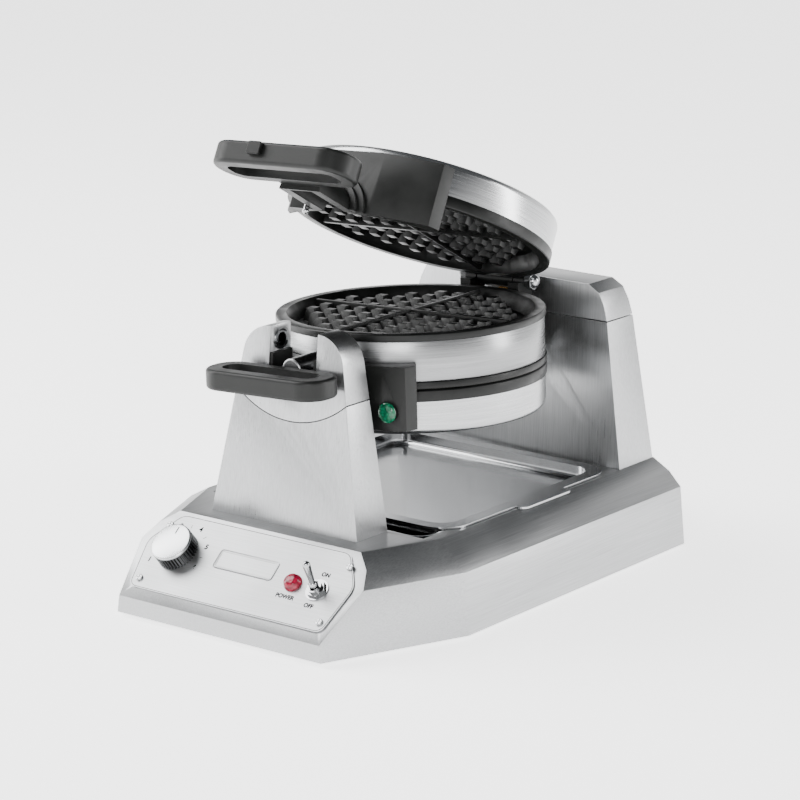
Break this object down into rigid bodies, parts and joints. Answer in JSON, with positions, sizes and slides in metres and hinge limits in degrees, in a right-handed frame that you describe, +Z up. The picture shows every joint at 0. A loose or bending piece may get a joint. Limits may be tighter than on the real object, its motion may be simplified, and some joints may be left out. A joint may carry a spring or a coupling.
{
  "type": "rotary double waffle maker",
  "caption": "Countertop double waffle maker: a drum of round grid plates with an opening lid turns between two posts on a wedge-fronted base with a tray, dial and switch.",
  "frame": {"origin": "on the table, under the middle of the base", "axes": "+Z up, -Y towards the operator (control panel side), +X to the operator's right; the drum turns about an axis along Y"},
  "size_m": [0.258, 0.38, 0.3258],
  "materials": {
    "brushed_steel": "brushed stainless sheet, fine vertical grain",
    "polished_steel": "polished",
    "machined_steel": "machined",
    "heater_steel": "oxidised sheath",
    "coated_casting": "dark grey non-stick coating on a casting",
    "black_plastic": "fine moulded texture, heat-resistant",
    "bearing_bronze": "plain sintered bush",
    "red_lens": "translucent faceted lens",
    "green_lens": "translucent lens",
    "black_rubber": "matte"
  },
  "bodies": {
    "base": {"base_housing": "brushed_steel", "bottom_plate": "brushed_steel", "rubber_feet": "black_rubber", "bottom_plate_screws": "polished_steel", "tray_well": "brushed_steel", "control_panel": "brushed_steel", "panel_screws": "polished_steel", "power_lamp_lens": "red_lens", "power_lamp_body": "black_plastic", "toggle_switch_body": "polished_steel", "toggle_nut": "polished_steel", "thermostat_body": "black_plastic", "terminal_block": "black_plastic", "cable_gland": "black_plastic", "front_post_shell": "brushed_steel", "front_post_cap": "brushed_steel", "front_cradle_bush": "black_plastic", "catch_eyelet": "polished_steel", "rear_post_shell": "brushed_steel", "rear_post_cap": "brushed_steel", "rear_bearing_bush": "bearing_bronze", "post_screws": "polished_steel"},
    "drum": {"middle_band": "brushed_steel", "middle_upper_plate": "coated_casting", "middle_lower_plate": "coated_casting", "middle_heating_element": "heater_steel", "front_spindle": "machined_steel", "rear_spindle": "machined_steel", "spindle_retaining_ring": "polished_steel", "hinge_bracket": "coated_casting", "hinge_pins": "polished_steel", "hinge_nuts": "polished_steel", "bottom_lid_shell": "brushed_steel", "bottom_lid_plate": "coated_casting", "bottom_heating_element": "heater_steel", "bottom_lid_bracket": "black_plastic", "bottom_handle": "black_plastic", "bottom_hinge_leaf": "coated_casting", "ready_lamp_lens": "green_lens", "ready_lamp_body": "black_plastic"},
    "top_lid": {"top_lid_shell": "brushed_steel", "top_lid_plate": "coated_casting", "top_heating_element": "heater_steel", "top_lid_bracket": "black_plastic", "top_handle": "black_plastic", "top_hinge_leaf": "coated_casting", "lock_pin": "polished_steel"},
    "latch": {"handle_latch": "black_plastic"},
    "tray": {"drip_tray": "polished_steel"},
    "knob": {"knob_shaft": "machined_steel", "knob_body": "polished_steel", "knob_cap": "polished_steel"},
    "toggle": {"toggle_lever": "polished_steel"}
  },
  "joints": [
    {"name": "drum_turn", "type": "hinge", "parent": "base", "child": "drum", "pos_m": [0, 0.0239, 0.17015], "axis": [0, 1, 0], "range_deg": [-87, 3]},
    {"name": "top_lid_hinge", "type": "hinge", "parent": "drum", "child": "top_lid", "pos_m": [-0.0012, 0.133, 0.19297], "axis": [-0.9986, 0, -0.0523], "range_deg": [-28, 58]},
    {"name": "handle_latch_pivot", "type": "hinge", "parent": "top_lid", "child": "latch", "pos_m": [-0.02084, -0.12437, 0.31939], "axis": [-0.0246, -0.8829, 0.4688], "range_deg": [0, 90]},
    {"name": "tray_lift", "type": "slide", "parent": "base", "child": "tray", "axis": [0, 0, 1], "range_m": [0, 0.008]},
    {"name": "thermostat_turn", "type": "hinge", "parent": "base", "child": "knob", "pos_m": [-0.059, -0.15853, 0.04281], "axis": [0, -0.6622, 0.7494], "range_deg": [-90, 110]},
    {"name": "toggle_throw", "type": "hinge", "parent": "base", "child": "toggle", "pos_m": [0.0625, -0.16682, 0.04616], "axis": [1, 0, 0], "range_deg": [0, 32]}
  ]
}
